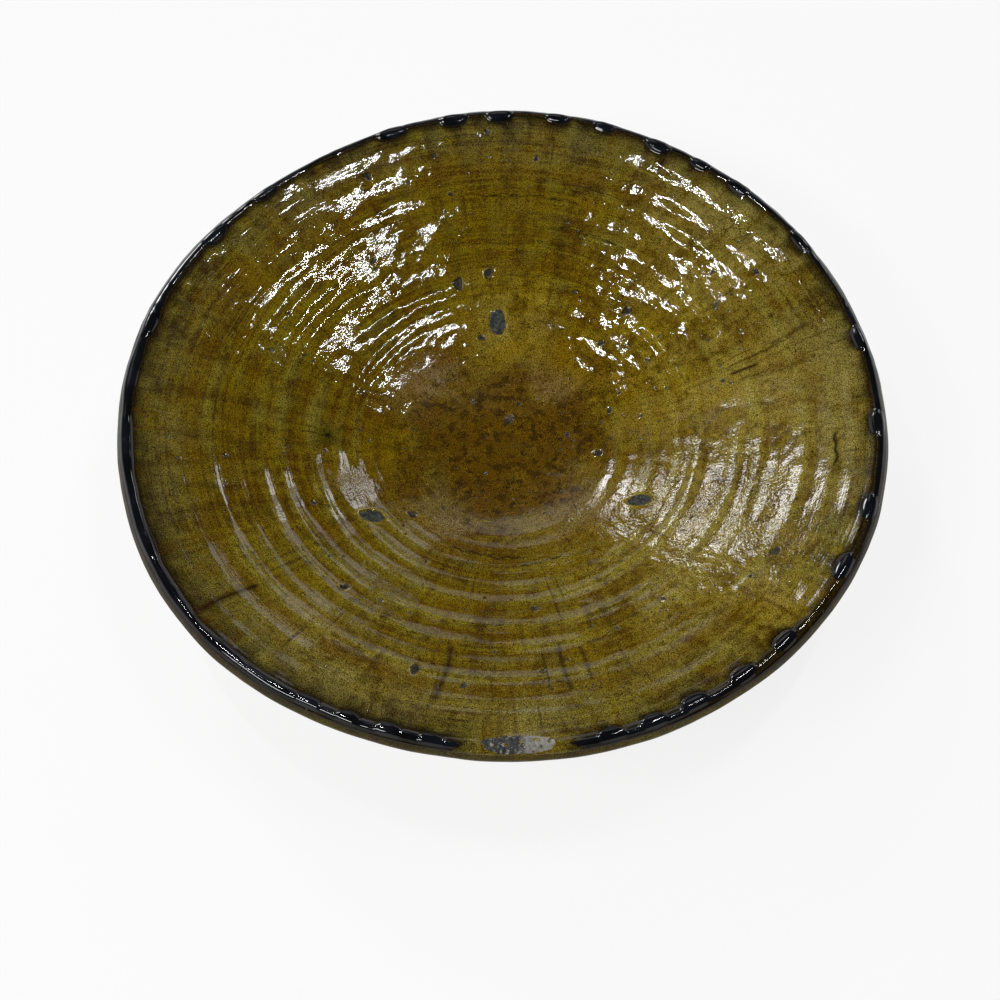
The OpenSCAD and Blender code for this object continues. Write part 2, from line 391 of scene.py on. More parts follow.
def swell(x, y):
    """Slow and quick unevenness of poured glaze."""
    quick = relief(x, y, (0.055, 14, 2), (0.026, 6, 3))
    slow = relief(x, y, (0.10, 34, 1))
    return slow * (1 - 0.7 * calm(x, y)) + quick * unrest(x, y)


def glaze_lift(u, theta):
    """Height of the amber glaze on the inside and over the lip."""
    x, y = plan(u, theta)
    r = radius_at(u)
    fullness = smooth(r, 60 * MM, 115 * MM) * (1 - smooth(r, 138 * MM, 166 * MM)) * (u < U_CREST)
    fullness = fullness * (1 - smooth(np.sin(theta), 0, 0.35))
    lift = GLAZE_T + WALL_SWELL * fullness + rings(u, theta) + lumps(u, theta) + swell(x, y)
    for index, (cx, cy, size, depth) in enumerate(PIT_PLACES):
        d = pit_distance(x - cx, y - cy, size, index)
        lift += depth * (0.45 * bell(d, 1.15, 0.22) - (1 - smooth(d, 0.35, 1.02)))
    d = stilt_distance(x, y)
    lift += 0.14 * MM * bell(d, 1.2, 0.16) - 0.3 * MM * (1 - smooth(d, 0.8, 1.1))
    lift -= 0.3 * MM * (1 - smooth(kiss_distance(u, theta), 0.75, 1.05))
    return lift


def ring_faces(inner, outer):
    """Faces between two rings of points, each a (first point, count). Outer has a multiple of inner's."""
    (a, n), (b, m) = inner, outer
    share, half = m // n, m // n // 2
    faces = []
    for j in range(n):
        here, after = a + j, a + (j + 1) % n
        rim = [b + (j * share + t) % m for t in range(share + 1)]
        if n == m:
            faces.append((here, rim[0], rim[1], after))
            continue
        for t in range(share):
            faces.append((here if t < half else after, rim[t], rim[t + 1]))
        if n > 1:
            faces.append((here, rim[half], after))
    return faces


def polar_sheet(stations):
    """Plan points and faces of a disc, from (radius, count) pairs from the middle out."""
    points, faces, last = [(0.0, 0.0)], [], (0, 1)
    for radius, count in stations:
        ring = (len(points), count)
        points += [plan(radius, TURN * k / count) for k in range(count)]
        faces += ring_faces(last, ring)
        last = ring
    return points, faces, last


def new_bmesh(points, faces):
    """A bmesh of these points and faces."""
    bm = bmesh.new()
    verts = [bm.verts.new(point) for point in points]
    for f in faces:
        bm.faces.new([verts[k] for k in f])
    return bm


def lens_mesh(stations, under_stations):
    """A bmesh in the plan: a fine top at z = 0 and a coarse underside at z = -1, joined at the edge."""
    top, faces, top_rim = polar_sheet(stations)
    under, under_faces, (first, count) = polar_sheet(under_stations)
    shift = len(top)
    faces += [tuple(shift + k for k in f[::-1]) for f in under_faces]
    faces += [f[::-1] for f in ring_faces((shift + first, count), top_rim)]
    return new_bmesh([(x, y, 0) for x, y in top] + [(x, y, -1) for x, y in under], faces)


def refine(bm, near, cuts):
    """Cuts up the faces of the top whose middle is near a mark."""
    faces = list(bm.faces)
    middles = np.array([f.calc_center_median()[:] for f in faces])
    wanted = near(middles[:, 0], middles[:, 1]) & (middles[:, 2] > -0.01)
    edges = {e for f, want in zip(faces, wanted) if want for e in f.edges}
    bmesh.ops.subdivide_edges(bm, edges=list(edges), cuts=cuts, use_grid_fill=True)


def add_object(name, data):
    """A new object in the scene."""
    made = bpy.data.objects.new(name, data)
    bpy.context.collection.objects.link(made)
    return made


def from_bmesh(name, bm, points, node, slot, material, **marks):
    """A piece whose vertices move to these points and carry the strengths of these marks."""
    for vert, point in zip(bm.verts, points):
        vert.co = point
    bmesh.ops.recalc_face_normals(bm, faces=bm.faces)
    mesh = bpy.data.meshes.new(name)
    bm.to_mesh(mesh)
    bm.free()
    for key, values in marks.items():
        mesh.attributes.new(key, "FLOAT", "POINT").data.foreach_set("value", values.astype(np.float32))
    mesh.validate()
    mesh.update()
    mesh.shade_smooth()
    mesh.set_sharp_from_angle(angle=math.radians(60))
    mesh.materials.append(material)
    piece = add_object(name, mesh)
    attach(piece, "root")
    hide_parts(node)


def from_loops(name, loops, closed, node, slot, material, **marks):
    """A piece swept through closed loops of points, an array of (loop, point, xyz)."""
    n, m = loops.shape[:2]
    faces = []
    for i in range(n if closed else n - 1):
        here, after = i * m, (i + 1) % n * m
        faces += [(here + k, here + (k + 1) % m, after + (k + 1) % m, after + k) for k in range(m)]
    if not closed:
        faces += [tuple(range(m))[::-1], tuple(range((n - 1) * m, n * m))]
    points = loops.reshape(-1, 3).tolist()
    from_bmesh(name, new_bmesh(points, faces), points, node, slot, material, **marks)


def with_under(top, under):
    """Values for the points of the tops of loops, followed by 0 for those of their undersides."""
    return np.concatenate([top, np.zeros(under.shape)], axis=1).ravel()


def plan_of(bm):
    """Plan x, y and side of every vertex, and the u and theta that they stand for."""
    plan_points = np.array([v.co[:] for v in bm.verts])
    x, y, side = plan_points.T
    return x, y, side > -0.5, np.hypot(x, y), np.arctan2(y, x)


def band_edges(theta):
    """u of the inner and outer edge of the dark band, without its gap."""
    x, y = plan(PLATE_R, theta)
    inner = U_BAND + relief(x, y, (0.3, 40, 21), (0.12, 12, 22))
    for angle, width, reach in BAND_REACH:
        inner = inner - reach * MM * facing(theta, angle, width)
    reach = np.zeros_like(theta)
    for angle, length, depth, _ in DABS:
        round_end = np.sqrt(np.clip(1 - (along_rim(theta, angle) / (length / 2 * MM)) ** 2, 0, 1))
        reach = np.maximum(reach, depth * MM * round_end)
    outer = U_SEAM - 0.6 * MM + relief(x, y, (0.25, 40, 23))
    return inner - reach, outer


def band_thickness(u, theta):
    """Thickness of the dark glaze, with its dabs, before it thins out to its edges."""
    flat = BAND_THIN
    for angle, width, extra in BAND_THICK:
        flat = flat + extra * MM * facing(theta, angle, width)
    dabs = np.zeros_like(u)
    for angle, length, depth, height in DABS:
        across = u - (U_BAND - depth * MM + DAB_W / 2)
        d = np.hypot(along_rim(theta, angle) / (length / 2 * MM), across / (DAB_W / 2))
        dabs = np.maximum(dabs, height * MM * np.sqrt(np.clip(1 - d * d, 0, 1)))
    return np.minimum(flat, 0.8 * MM) + dabs


def gap_distance(theta):
    """Distance along the rim from the bare gap, below 0 inside the gap."""
    away = np.abs(degrees_from(theta, (GAP_FROM + GAP_TO) / 2)) - (GAP_TO - GAP_FROM) / 2
    return np.radians(away) * PLATE_R


def srgb(*tone):
    """A colour from the red, green and blue that a screen shows, 0 to 255."""
    shown = [c / 255 for c in tone]
    return (*(c / 12.92 if c <= 0.04045 else ((c + 0.055) / 1.055) ** 2.4 for c in shown), 1.0)


class Nodes:
    """A tree of shader nodes, with one short call for each kind of node."""

    def __init__(self, tree):
        self.tree = tree

    def feed(self, socket, value):
        """Links another node's output to an input, or sets a value on it."""
        if isinstance(value, bpy.types.NodeSocket):
            self.tree.links.new(value, socket)
        else:
            socket.default_value = value

    def make(self, kind, inputs=None, **settings):
        """The outputs of a new node, whose inputs go by name or number."""
        made = self.tree.nodes.new("ShaderNode" + kind)
        for key, value in settings.items():
            setattr(made, key, value)
        for key, value in (inputs or {}).items():
            self.feed(made.inputs[key], value)
        return made.outputs

    def math(self, operation, a, b=0.0):
        return self.make("Math", {0: a, 1: b}, operation=operation)[0]

    def add(self, *terms):
        total = terms[0]
        for term in terms[1:]:
            total = self.math("ADD", total, term)
        return total

    def times(self, a, b):
        return self.math("MULTIPLY", a, b)

    def weighted(self, *pairs):
        """The sum of values, each times its weight."""
        return self.add(*(self.times(value, weight) for value, weight in pairs))

    def vector_math(self, operation, a, b=(0.0, 0.0, 0.0)):
        """A vector operation that gives a number."""
        return self.make("VectorMath", {0: a, 1: b}, operation=operation)["Value"]

    def mix(self, share, a, b):
        """A mix of two colours, each a node's output or the red, green and blue that srgb takes."""
        a, b = (srgb(*tone) if isinstance(tone, tuple) else tone for tone in (a, b))
        return self.make("Mix", {0: share, 6: a, 7: b}, data_type="RGBA")[2]

    def span(self, value, low, high, to_low=0.0, to_high=1.0):
        """An even step from to_low to to_high, as the value goes from low to high."""
        ends = {"From Min": low, "From Max": high, "To Min": to_low, "To Max": to_high}
        return self.make("MapRange", {"Value": value, **ends}, interpolation_type="SMOOTHSTEP")[0]

    def attribute(self, name):
        return self.make("Attribute", attribute_name=name)["Fac"]

    def noise(self, vector, scale, detail=2.0, roughness=0.5):
        inputs = {"Vector": vector, "Scale": scale, "Detail": detail, "Roughness": roughness}
        return self.make("TexNoise", inputs)[0]

    def vector(self, x, y, z):
        return self.make("CombineXYZ", {0: x, 1: y, 2: z})[0]

    def split(self, vector):
        return self.make("SeparateXYZ", {0: vector})

    def place(self):
        return self.make("TexCoord")["Object"]

    def polar(self):
        """Place, cosine and sine of the angle, and radius."""
        place = self.place()
        x, y, _ = self.split(place)
        radius = self.vector_math("LENGTH", self.vector(x, y, 0.0))
        return place, self.math("DIVIDE", x, radius), self.math("DIVIDE", y, radius), radius

    def brushed(self, around, across, along, detail=2.0):
        """Noise drawn out round the axis: across cells in a radian, along cells in a metre of radius."""
        _, cosine, sine, radius = around
        spot = self.vector(self.times(cosine, across), self.times(sine, across), self.times(radius, along))
        return self.noise(spot, 1.0, detail)

    def bump(self, height):
        return self.make("Bump", {"Height": height, "Strength": 1.0, "Distance": 1.0})[0]


class Paint(Nodes):
    """A material, its nodes, and its colour as far as it is mixed."""

    def __init__(self, name):
        self.material = bpy.data.materials.new(name)
        self.material.use_nodes = True
        super().__init__(self.material.node_tree)
        self.shader = self.tree.nodes["Principled BSDF"]

    def stain(self, share, strength, tone):
        """Lays a tone over the colour."""
        self.colour = self.mix(self.times(share, strength), self.colour, tone)

    def finish(self, roughness, height, specular=0.5):
        """The material with its colour, roughness, relief and gloss."""
        for key, value in (("Base Color", self.colour), ("Roughness", roughness),
                           ("Normal", self.bump(height)), ("Specular IOR Level", specular)):
            self.feed(self.shader.inputs[key], value)
        return self.material


def amber_glaze(name, sheen, pitted):
    """Runny amber-olive glaze over reddish clay, with grain, streaks, fine turning lines and marks."""
    p = Paint(name)
    around = p.polar()
    place, _, _, radius = around
    cloud = p.noise(place, 30, 4, 0.6)
    mottle = p.noise(place, 230, 3, 0.6)
    tint = p.noise(place, 62, 3, 0.6)
    wide = p.brushed(around, 6, 10, 3)
    streak = p.times(p.brushed(around, 24, 16), p.span(radius, 40 * MM, 80 * MM, 0.55, 1))
    lines = p.brushed(around, 1.8, 420)
    fine_lines = p.brushed(around, 5, 1100)
    thin_streak = p.times(p.brushed(around, 62, 20), p.span(radius, 50 * MM, 90 * MM, 0.5, 1))
    grain = p.noise(place, 3000, 0)
    specks = p.noise(place, 620, 2, 0.6)
    dot = p.span(p.make("TexVoronoi", {"Vector": place, "Scale": 165.0})[0], 0.11, 0.05)

    # The outside has the same tones, but its streaks and lines are fainter
    drawn = 1.0 if pitted else 0.3
    shade = p.weighted((cloud, 0.36), (mottle, 0.4), (wide, 0.42), (streak, 0.4 * drawn),
                       (lines, 0.45 * drawn), (fine_lines, 0.45 * drawn))
    shade = p.add(shade, 0.64 * (1 - drawn))
    p.colour = p.mix(p.span(shade, 1.06, 1.38), (60, 42, 4), (114, 100, 12))
    p.stain(p.span(tint, 0.5, 0.66), 0.5, (100, 93, 34))
    p.stain(p.span(tint, 0.48, 0.34), 0.35, (110, 80, 0))
    patchy = p.span(p.weighted((cloud, 0.5), (mottle, 0.5)), 0.4, 0.58, 0.15, 1.0)
    for key, strength, tone in (("warm", 0.8, (94, 68, 2)), ("light", 0.85, (146, 120, 2)),
                                # haze_and_sheen: a pale grey painted reflection on the rougher glaze round
                                # the well's edge
                                ("pale_olive", 0.85, (154, 140, 64)), ("haze_and_sheen", 0.9, (118, 98, 62)),
                                # crest: a painted sheen on the ring crests of the near wall
                                ("crest", 0.5, (124, 112, 40)), ("dull", 0.4, (96, 88, 56))):
        p.stain(p.times(p.attribute(key), patchy), strength, tone)
    for key, strength, tone in (("pool", 0.4, (92, 64, 1)), ("centre", 0.7, (90, 63, 3)),
                                ("halo", 0.6, (128, 112, 40)), ("fringe", 1.0, (24, 18, 6)),
                                ("green", 1.0, (50, 58, 8)), ("spot", 1.0, (12, 13, 9))):
        p.stain(p.attribute(key), strength, tone)
    spotted = p.times(p.attribute("centre"), p.span(mottle, 0.47, 0.62))
    p.stain(spotted, 0.75, (46, 29, 2))
    rust = p.times(p.span(streak, 0.54, 0.72), p.span(wide, 0.42, 0.6))
    p.stain(rust, 0.6 * drawn, (66, 38, 3))
    thin_rust = p.times(p.span(thin_streak, 0.56, 0.74), p.span(cloud, 0.46, 0.6))
    p.stain(thin_rust, 0.7 * drawn, (50, 32, 4))
    broken = p.span(grain, 0.3, 0.55, 0.5, 1.0)
    p.stain(p.attribute("streak"), broken, (40, 22, 8))
    crack = p.make("TexVoronoi", {"Vector": place, "Scale": 170.0}, feature="DISTANCE_TO_EDGE")[0]
    crazed = p.times(p.attribute("craze"), p.span(crack, 0.05, 0.015))
    p.stain(crazed, 0.8, (38, 26, 8))
    p.stain(p.attribute("crack"), broken, (24, 20, 10))
    p.stain(p.span(specks, 0.58, 0.68), 0.35, (40, 28, 4))
    grainy = p.span(grain, 0.3, 0.7, 0.15, 1.9)
    p.colour = p.make("HueSaturation", {"Value": grainy, "Color": p.colour})[0]
    p.stain(dot, 0.85, (24, 21, 12))
    hollow = p.mix(p.span(specks, 0.4, 0.6), (20, 19, 15), (56, 56, 48))
    for key, strength, tone in (("pit", 0.95, hollow), ("pit_edge", 1.0, (14, 12, 8)),
                                # pit_lip_glint: the pale chipped lip of a pit, whose crescent is partly a
                                # painted highlight
                                ("pit_lip_glint", 1.0, (176, 168, 136))):
        p.stain(p.attribute(key), strength, tone)

    meander = p.noise(place, 150, 1)
    ripple = p.noise(place, 600, 2, 0.55)
    sparkle = p.noise(place, 1100, 1)
    uneven = p.weighted((meander, 0.2 * MM), (ripple, 0.05 * MM), (sparkle, 0.025 * MM))
    ringed = p.span(p.attribute("unrest"), 0.3, 1.0, 0.1 * MM, 0.04 * MM)
    grit = p.add(0.7, p.times(p.attribute("grit"), 9.0))
    height = p.weighted((uneven, p.attribute("unrest")), (lines, ringed), (fine_lines, 0.012 * MM),
                        (p.times(specks, 0.03 * MM), grit), (dot, -0.12 * MM))
    rough = p.weighted((p.attribute("centre"), 0.08), (p.attribute("pit"), 0.4), (p.attribute("haze_and_sheen"), 0.1))
    rough = p.add(rough, p.span(grain, 0.3, 0.7, sheen, sheen + 0.03))
    worn = p.math("MAXIMUM", p.attribute("pit"), p.attribute("worn"))
    specular = p.span(worn, 0.0, 1.0, 0.5, 0.12) if pitted else 0.08
    return p.finish(rough, height, specular)


def dark_glaze():
    """Thick blue-black glaze that thins to burnt brown at its edges."""
    p = Paint("dark_glaze")
    place = p.place()
    cloud = p.noise(place, 60, 3)
    grain = p.noise(place, 900, 2)
    p.colour = p.mix(p.span(cloud, 0.35, 0.7), (8, 9, 12), (17, 20, 26))
    thin = p.mix(p.span(grain, 0.35, 0.65), (30, 22, 6), (58, 44, 10))
    p.stain(p.attribute("thin"), 1.0, thin)
    height = p.weighted((p.noise(place, 420), 0.012 * MM), (p.noise(place, 110), 0.04 * MM))
    specular = p.span(p.attribute("flank"), 0.0, 1.0, 0.5, 0.08)
    return p.finish(p.span(cloud, 0.3, 0.7, 0.04, 0.09), height, specular)


def fired_clay():
    """Gritty pinkish earthenware with turning lines, darker grit and wear."""
    p = Paint("fired_clay")
    around = p.polar()
    place = around[0]
    cloud = p.noise(place, 30, 4)
    lines = p.brushed(around, 2, 700, 3)
    grit = p.noise(place, 700, 3, 0.65)
    p.colour = p.mix(p.span(cloud, 0.3, 0.7), (176, 122, 84), (206, 160, 122))
    p.stain(p.span(lines, 0.45, 0.7), 0.4, (150, 98, 66))
    p.stain(p.span(grit, 0.6, 0.68), 0.7, (92, 62, 48))
    p.stain(p.span(grit, 0.36, 0.3), 0.6, (228, 204, 176))
    height = p.weighted((lines, 0.2 * MM), (grit, 0.12 * MM))
    return p.finish(p.span(grit, 0.3, 0.7, 0.7, 0.95), height)


def stilt_clay():
    """Slate-grey, pitted stilt clay, with worn pale grains."""
    p = Paint("stilt_clay")
    place = p.place()
    grit = p.noise(place, 800, 3, 0.65)
    cloud = p.noise(place, 260, 2)
    p.colour = p.mix(p.span(cloud, 0.35, 0.65), (36, 39, 38), (60, 64, 57))
    p.stain(p.span(grit, 0.55, 0.64), 0.7, (106, 106, 92))
    p.stain(p.span(grit, 0.45, 0.36), 0.8, (14, 14, 14))
    return p.finish(p.span(grit, 0.3, 0.7, 0.5, 0.85), p.times(grit, 0.3 * MM), 0.2)


def kiss_scar():
    """Broken glaze where another pot stuck: dark on one side and chalky grey on the other."""
    p = Paint("kiss_scar")
    place = p.place()
    x, _, _ = p.split(place)
    grit = p.noise(place, 620, 3, 0.65)
    cloud = p.noise(place, 220, 3)
    chalky = p.span(p.add(x, p.times(cloud, 10 * MM)), 9 * MM, 15 * MM)
    p.colour = p.mix(chalky, (34, 36, 36), (132, 130, 120))
    p.stain(p.span(grit, 0.56, 0.66), 0.8, (150, 148, 134))
    p.stain(p.span(grit, 0.44, 0.36), 0.7, (16, 16, 18))
    return p.finish(p.span(cloud, 0.35, 0.6, 0.18, 0.7), p.times(grit, 0.5 * MM))


def patches(x, y, places, seed):
    """Soft-edged, uneven patches, from (angle, radius, size, strength) places."""
    uneven = 1 + 0.25 * waves(x, y, 26 * MM, seed)
    total = np.max([strength * bell(away_from(x, y, angle, radius), 0, size * MM)
                    for angle, radius, size, strength in places], axis=0)
    return np.clip(total * uneven, 0, 1)


def streak_marks(radius, theta):
    """Strength of the streaks that run down the wall, at a radius in mm."""
    total = np.zeros_like(radius)
    for angle, start, end, width, strength in STREAKS:
        wander = 0.25 * width * np.sin(radius / 6 + angle)
        away = np.radians(degrees_from(theta, angle)) * radius + wander
        ends = smooth(radius, start - width, start) * (1 - smooth(radius, end, end + width))
        total = np.maximum(total, strength * bell(away, 0, width / 2) * ends)
    return total


def crack_marks(radius, theta):
    """Strength of the cracks that run along the rings, at a radius in mm."""
    total = np.zeros_like(radius)
    for at, start, end, width in CRACKS:
        along, half = degrees_from(theta, (start + end) / 2), (end - start) / 2
        ends = 1 - smooth(np.abs(along), half - 1, half)
        wander = 0.5 * np.sin(0.9 * along) + 0.3 * np.sin(2.3 * degrees_from(theta, at))
        total = np.maximum(total, bell(radius + wander, at, width / 2) * ends)
    return total


def near_marks(x, y):
    """Whether a plan point is near a pit, a streak, a crack or the edge of a stilt scar."""
    radius, theta = radius_at(np.hypot(x, y)) / MM, np.arctan2(y, x)
    to_pit = np.min([np.hypot(x - cx, y - cy) / (1.8 * size + 0.4 * MM)
                     for cx, cy, size, _ in PIT_PLACES], axis=0)
    marked = (streak_marks(radius, theta) > 0.6) | (crack_marks(radius, theta) > 0.05)
    return (to_pit < 1) | marked | (np.abs(stilt_distance(x, y) - 1) < 0.2)


def pit_tones(x, y):
    """How strong the pits' hollows, dark edges and pale lips are at every point; each lip's pale crescent
    is a chipped edge and partly a painted highlight.
    """
    hollow, edge, lip = np.zeros((3, len(x)))
    for index, (cx, cy, size, _) in enumerate(PIT_PLACES):
        d = pit_distance(x - cx, y - cy, size, index)
        strength = 1.0 if size > 1.8 * MM or index % 3 else 0.55
        hollow = np.maximum(hollow, strength * (1 - smooth(d, 0.6, 1.05)))
        if index < len(PITS):
            turn = np.arctan2(y - cy, x - cx) - 2.4 * index
            edge = np.maximum(edge, 0.9 * bell(d, 0.92, 0.13))
            # A pale crescent on one side of the lip: a chipped edge, painted light enough to stand for a
            # highlight
            lip = np.maximum(lip, 0.5 * bell(d, 1.1, 0.08) * smooth(np.cos(turn), 0.3, 0.9))
    return {"pit": hollow, "pit_edge": edge, "pit_lip_glint": lip}


def inside_tones(x, y, u, theta):
    """How strong each tone and mark of the inside glaze is at every point."""
    radius, ridge = radius_at(u) / MM, rings(u, theta) / MM
    on_wall = smooth(radius, 48, 60) * (1 - smooth(radius, 145, 160))
    near_side = 1 - smooth(np.sin(theta), 0.1, 0.6)
    uneven = 1 + 0.12 * waves(x, y, 30 * MM, 32)
    to_band = np.clip(band_edges(theta)[0] - u, 0, None)
    ragged = np.clip(1 + 0.35 * waves(x, y, 12 * MM, 31), 0.3, 2) * (1 + 1.7 * facing(theta, 218, 40))
    spot = away_from(x, y, *GREEN_SPOT)
    return {
        **pit_tones(x, y),
        "unrest": unrest(x, y),
        "pool": np.clip(1 - ridge / 0.4, 0, 1) * on_wall,
        # crest: a paler tone on the ring crests of the near wall, a painted sheen of the light they reflect
        "crest": np.clip(ridge / 0.32, 0, 1) ** 1.5 * on_wall * near_side,
        "centre": 1 - smooth(radius * uneven, 33, 45),
        "warm": bell(radius * uneven, 54, 14) * (0.45 + 0.55 * smooth(np.sin(theta), -0.7, 0.1)),
        **{key: patches(x, y, places, seed) for seed, (key, places) in enumerate(PATCHES.items(), 33)},
        "dull": smooth(radius, 130, 156) * (1 - 0.6 * facing(theta, 316, 30)),
        "halo": bell(stilt_distance(x, y), 1.3, 0.22),
        "fringe": np.exp(-to_band / (2.8 * MM * ragged)) * smooth(gap_distance(theta), -4 * MM, 8 * MM),
        "streak": streak_marks(radius, theta),
        "crack": crack_marks(radius, theta),
        "green": 0.8 * bell(spot, 0, 4.5 * MM),
        "spot": 1 - smooth(spot, 0.8 * MM, 2.2 * MM),
    }


def build_inside_glaze(material):
    """The poured glaze on the inside and over the lip, with rings, pits and scars in its surface."""
    def count_at(u):
        return 120 if u < 25 * MM else 240 if u < 55 * MM else 720

    top_u = np.concatenate([np.arange(1, 141) * 1.28 * MM, np.linspace(180.4 * MM, U_SEAM, 8)])
    under_u = np.linspace(4 * MM, U_SEAM, 40)
    bm = lens_mesh([(u, count_at(u)) for u in top_u], [(u, 60 if u < 20 * MM else 240) for u in under_u])
    refine(bm, near_marks, 2)
    x, y, on_top, u, theta = plan_of(bm)
    under = rings(u, theta) + lumps(u, theta) - COAT_SINK
    points = place(u, theta, np.where(on_top, glaze_lift(u, theta), under))
    from_bmesh("inside_glaze_coat", bm, points, "inside_glaze", "amber_glaze", material,
               **inside_tones(x, y, u, theta))


def build_outside_glaze(material):
    """The glaze on the outside, which ends in a wavy line with a few runs above the bare foot."""
    count, stations, under_stations = 540, 76, 40
    theta = np.linspace(0, TURN, count, endpoint=False)[:, None]
    line = u_outside(BARE_R) + relief(*plan(BARE_R, theta), (2.2, 70, 41), (0.6, 20, 42))
    for angle, length in RUNS:
        line = line + length * MM * facing(theta, angle, RUN_HALF)
    u = U_SEAM + (line - U_SEAM) * np.linspace(0, 1, stations) ** 0.9
    left = line - u
    bead = GLAZE_T * (1 + 0.7 * bell(left, 2 * MM, 2.5 * MM)) * np.sqrt(np.clip(left / (1.2 * MM), 0, 1))
    top = place(u, theta, bead + swell(*plan(u, theta)) * smooth(left, 0, 4 * MM))
    under_u = U_SEAM + (line - U_SEAM) * np.linspace(1, 0, under_stations)[1:]
    under = place(under_u, theta, -COAT_SINK)
    stain = 0.35 + 0.5 * facing(theta, 205, 60) + 0.5 * facing(theta, 345, 28)
    pool = with_under(bell(left, 1 * MM, 4 * MM), under_u)
    fringe = with_under(stain * bell(u - U_SEAM, 0, 9 * MM), under_u)
    from_loops("outside_glaze_coat", np.concatenate([top, under], axis=1), True,
               "outside_glaze", "amber_glaze", material,
               pool=pool, fringe=fringe, unrest=np.full_like(pool, 0.5))


def build_rim_glaze(material):
    """The painted dark band: a thick bead over the lip with raised dabs, open at the bare gap."""
    count, stations, under_stations = 1300, 30, 12
    theta = np.radians(np.linspace(GAP_TO, GAP_FROM + 360, count))[:, None]
    inner, outer = band_edges(theta)
    taper = np.sqrt(np.clip(1 - (1 - np.clip(gap_distance(theta) / (9 * MM), 0, 1)) ** 2, 0.0004, 1))
    inner, outer = U_CREST + (inner - U_CREST) * taper, U_CREST + (outer - U_CREST) * taper
    u = inner + (outer - inner) * (0.5 - 0.5 * np.cos(np.pi * np.linspace(0, 1, stations)))
    body = smooth(np.minimum(u - inner, outer - u), 0, 2.4 * MM)
    thick = band_thickness(u, theta) * body * taper
    ripple = relief(*plan(u, theta), (0.03, 24, 24), (0.008, 8, 25)) * body
    top = place(u, theta, glaze_lift(u, theta) + thick + ripple - 0.08 * MM)
    under_u = inner + (outer - inner) * np.linspace(1, 0, under_stations)[1:-1]
    under = place(under_u, theta, 0.1 * MM)
    thin = with_under(1 - smooth(thick, 0.05 * MM, 0.32 * MM), under_u)
    flank = with_under(smooth(u, U_CREST + 1 * MM, U_CREST + 4 * MM), under_u)
    from_loops("rim_glaze_band", np.concatenate([top, under], axis=1), False,
               "rim_glaze", "dark_glaze", material, thin=thin, flank=flank)


def build_clay(material):
    """The clay body: what shows of it is the bare strip and the turned base round and in the foot ring."""
    count = 360
    turn = np.linspace(0, TURN, count, endpoint=False)[None, :]
    u = np.concatenate([np.linspace(0, U_SEAM, 70)[1:], np.linspace(U_SEAM, U_BASE, 80)[1:]])[:, None]
    u, theta = np.broadcast_arrays(u, turn)
    bare = smooth(u, u_outside(BARE_R + BARE_W), u_outside(BARE_R))
    turned = 0.06 * MM * np.cos(TURN * u / (3.1 * MM)) + relief(*plan(u, theta), (0.1, 25, 51))
    form = rings(u, theta) + lumps(u, theta)
    shell = place(u, theta, form - CLAY_SINK * (1 - bare) + turned * bare)
    base_r = (np.linspace(1, 0, 50)[1:-1] * BASE_R)[:, None]
    spiral = 0.14 * MM * np.cos(TURN * base_r / (4.2 * MM) + turn) * smooth(base_r, 2 * MM, 8 * MM)
    x, y = plan(base_r, turn)
    base = np.stack([x, y, FOOT_H + spiral + relief(x, y, (0.12, 22, 52))], -1)
    rows = np.concatenate([shell, base])
    points = [(0, 0, FOOT_H + FLOOR_T - CLAY_SINK), *rows.reshape(-1, 3).tolist(), (0, 0, FOOT_H)]
    faces = ring_faces((0, 1), (1, count))
    for k in range(len(rows) - 1):
        faces += ring_faces((1 + k * count, count), (1 + (k + 1) * count, count))
    faces += [f[::-1] for f in ring_faces((len(points) - 1, 1), (1 + (len(rows) - 1) * count, count))]
    from_bmesh("clay_shell", new_bmesh(points, faces), points, "clay_body", "clay", material)


def build_foot(material):
    """The turned foot ring, with worn and chipped edges."""
    count = 420
    lean = math.atan2(FOOT_TAPER, FOOT_H)
    top = FOOT_H + 0.4 * MM
    outer = FOOT_R - FOOT_TAPER - FOOT_EDGE
    inner = FOOT_R - FOOT_W + FOOT_TAPER + FOOT_EDGE

    def flank(radius, taper, shares):
        """Points of a slanting side, from its rounded edge at 0 to its top at 1."""
        return [(radius + taper * (1 - s), FOOT_EDGE + (top - FOOT_EDGE) * s) for s in shares]

    def edge(middle, first, last):
        """Points of a rounded lower edge, from one angle to another."""
        return [(middle + FOOT_EDGE * math.cos(a), FOOT_EDGE + FOOT_EDGE * math.sin(a))
                for a in np.linspace(first, last, 8)]

    section = flank(FOOT_R, -FOOT_TAPER, np.linspace(1, 0, 14)[:-1])
    section += edge(outer, -lean, -math.pi / 2)
    section += [(r, 0) for r in np.linspace(outer, inner, 12)[1:-1]]
    section += edge(inner, -math.pi / 2, lean - math.pi)
    section += flank(FOOT_R - FOOT_W, FOOT_TAPER, np.linspace(0, 1, 14)[1:])
    r, z = np.array(section).T
    theta = np.linspace(0, TURN, count, endpoint=False)[:, None]
    x, y = plan(r, theta)
    low = 1 - smooth(z, 0.5 * MM, 4 * MM)
    middle = FOOT_R - FOOT_W / 2
    wear = relief(x, y, (0.18, 24, 61), (0.05, 5, 62))
    for angle, side, size, depth in CHIPS:
        cx, cy = plan(middle + side * CHIP_OUT, math.radians(angle))
        wear = wear - depth * MM * bell(np.hypot(x - cx, y - cy), 0, size * MM) * low
    side = np.clip((r - middle) / (FOOT_W / 2), -1, 1)
    z = np.maximum(z + np.where(wear < 0, -wear, 0) * low * 0.6, 0)
    loops = np.stack([*plan(r + side * wear, theta), z], -1)
    from_loops("foot_ring_turned", loops, True, "foot_ring", "clay", material)


